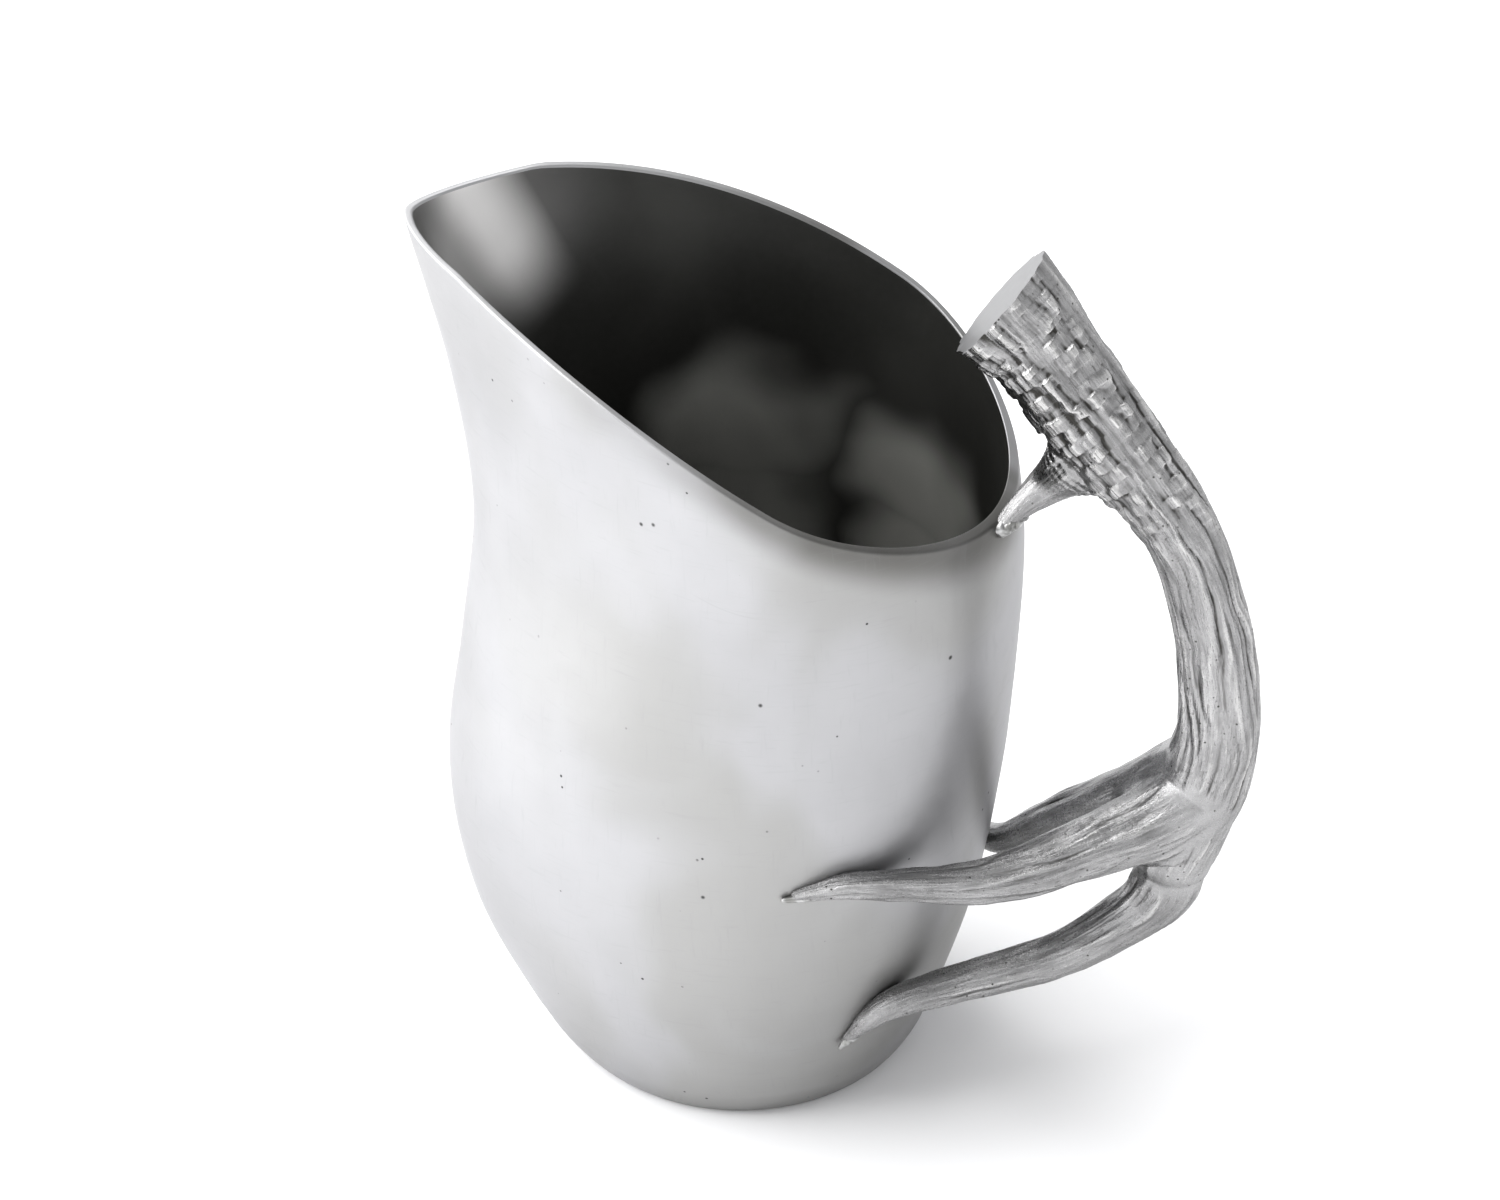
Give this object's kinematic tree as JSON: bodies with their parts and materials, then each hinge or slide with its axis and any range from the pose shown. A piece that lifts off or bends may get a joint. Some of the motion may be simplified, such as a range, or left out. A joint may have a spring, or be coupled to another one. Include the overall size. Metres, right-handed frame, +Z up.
{
  "type": "water pitcher",
  "caption": "Tall polished cast-metal water pitcher with a sweeping slanted rim, a keeled spout and an antler handle brazed to the rim and body.",
  "frame": {"origin": "centre of the flat underside, on the surface that the pitcher stands on", "axes": "+Z up, -X towards the spout, +X towards the handle, the body symmetric about the XZ plane"},
  "size_m": [0.2409, 0.1422, 0.2638],
  "materials": {
    "polished_metal": "hand-polished casting, soft mirror with fine hairlines and a few casting pits",
    "antler_metal": "cast antler texture, bright worn ridges and dark antiqued grooves",
    "solder_metal": "dressed braze, satin"
  },
  "bodies": {
    "root": {"body_shell": "polished_metal", "base_plate": "polished_metal", "antler_beam": "antler_metal", "rim_tine": "antler_metal", "near_tine": "antler_metal", "far_tine": "antler_metal", "lower_tine": "antler_metal", "rim_solder": "solder_metal", "near_solder": "solder_metal", "far_solder": "solder_metal", "lower_solder": "solder_metal"}
  },
  "joints": []
}
